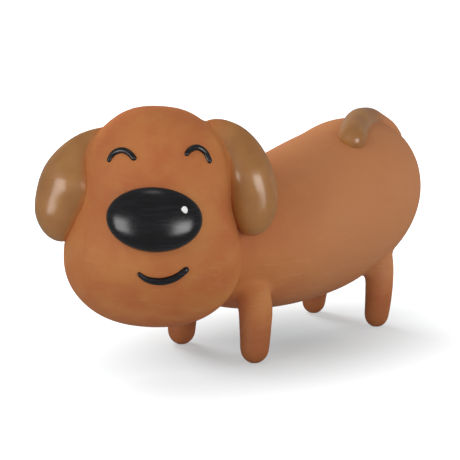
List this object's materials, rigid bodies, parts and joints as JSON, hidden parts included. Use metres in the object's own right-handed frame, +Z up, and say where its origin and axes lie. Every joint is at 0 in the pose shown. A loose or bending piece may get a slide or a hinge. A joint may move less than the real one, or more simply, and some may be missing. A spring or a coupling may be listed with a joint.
{
  "type": "dog toy",
  "caption": "Hollow moulded latex squeaker toy in the shape of a standing long-bodied dog, with its head turned, hanging ears, a curled tail, peg legs, a big nose and a smiling face.",
  "frame": {"origin": "on the floor, under the middle of the toy's bounding box", "axes": "+Y runs along the dog from its head to its tail, +Z is up and +X is the dog's left"},
  "size_m": [0.0706, 0.1916, 0.1079],
  "materials": {
    "bare_latex": "matte orange-brown natural latex, with faint mould lines and scuffs",
    "lacquered_latex": "olive-brown lacquer on latex, glossy",
    "black_paint": "thick glossy black paint on latex",
    "white_paint": "a raised dot of glossy white paint",
    "polyester_fibre": "loose white polyester fibre",
    "squeaker_plastic": "moulded polyethylene, satin",
    "reed_film": "thin stiff film, smooth"
  },
  "bodies": {
    "torso": {"torso_skin": "bare_latex", "torso_filling": "polyester_fibre", "squeaker_housing": "squeaker_plastic", "squeaker_cover": "squeaker_plastic", "squeaker_reed_seat": "squeaker_plastic", "squeaker_reed_clip": "squeaker_plastic"},
    "head": {"head_skin": "bare_latex", "head_filling": "polyester_fibre", "nose": "black_paint", "nose_glint": "white_paint", "eye_right": "black_paint", "eye_left": "black_paint", "mouth": "black_paint"},
    "ear_left": {"ear_left": "lacquered_latex"},
    "ear_right": {"ear_right": "lacquered_latex"},
    "leg_front_left": {"leg_front_left": "bare_latex"},
    "leg_front_right": {"leg_front_right": "bare_latex"},
    "leg_rear_left": {"leg_rear_left": "bare_latex"},
    "leg_rear_right": {"leg_rear_right": "bare_latex"},
    "tail": {"tail": "lacquered_latex"},
    "squeaker_reed": {"squeaker_reed": "reed_film"}
  },
  "joints": [
    {"name": "neck_nod", "type": "hinge", "parent": "torso", "child": "head", "pos_m": [-0.00116, -0.06028, 0.0582], "axis": [1, 0, 0], "range_deg": [-5, 5], "stiffness_Nm_per_rad": 1.2},
    {"name": "ear_left_lift", "type": "hinge", "parent": "head", "child": "ear_left", "pos_m": [0.01751, -0.03725, 0.09272], "axis": [0.7314, -0.682, 0], "range_deg": [0, 14], "stiffness_Nm_per_rad": 0.1},
    {"name": "ear_right_lift", "type": "hinge", "parent": "head", "child": "ear_right", "pos_m": [-0.01748, -0.07478, 0.09559], "axis": [-0.7314, 0.682, 0], "range_deg": [0, 14], "stiffness_Nm_per_rad": 0.1},
    {"name": "leg_front_left_swing", "type": "hinge", "parent": "torso", "child": "leg_front_left", "pos_m": [0.01934, -0.02048, 0.026], "axis": [1, 0, 0], "range_deg": [-12, 12], "stiffness_Nm_per_rad": 0.4},
    {"name": "leg_front_right_swing", "type": "hinge", "parent": "torso", "child": "leg_front_right", "pos_m": [-0.02166, -0.02048, 0.026], "axis": [1, 0, 0], "range_deg": [-12, 12], "stiffness_Nm_per_rad": 0.4},
    {"name": "leg_rear_left_swing", "type": "hinge", "parent": "torso", "child": "leg_rear_left", "pos_m": [0.01644, 0.06642, 0.026], "axis": [1, 0, 0], "range_deg": [-12, 12], "stiffness_Nm_per_rad": 0.4},
    {"name": "leg_rear_right_swing", "type": "hinge", "parent": "torso", "child": "leg_rear_right", "pos_m": [-0.01876, 0.06642, 0.026], "axis": [1, 0, 0], "range_deg": [-12, 12], "stiffness_Nm_per_rad": 0.4},
    {"name": "tail_lift", "type": "hinge", "parent": "torso", "child": "tail", "pos_m": [0.00334, 0.09392, 0.08085], "axis": [-1, 0, 0], "range_deg": [0, 12], "stiffness_Nm_per_rad": 0.08},
    {"name": "reed_flap", "type": "hinge", "parent": "torso", "child": "squeaker_reed", "pos_m": [-0.00116, 0.02032, 0.02277], "axis": [1, 0, 0], "range_deg": [0, 4], "stiffness_Nm_per_rad": 0.001}
  ]
}
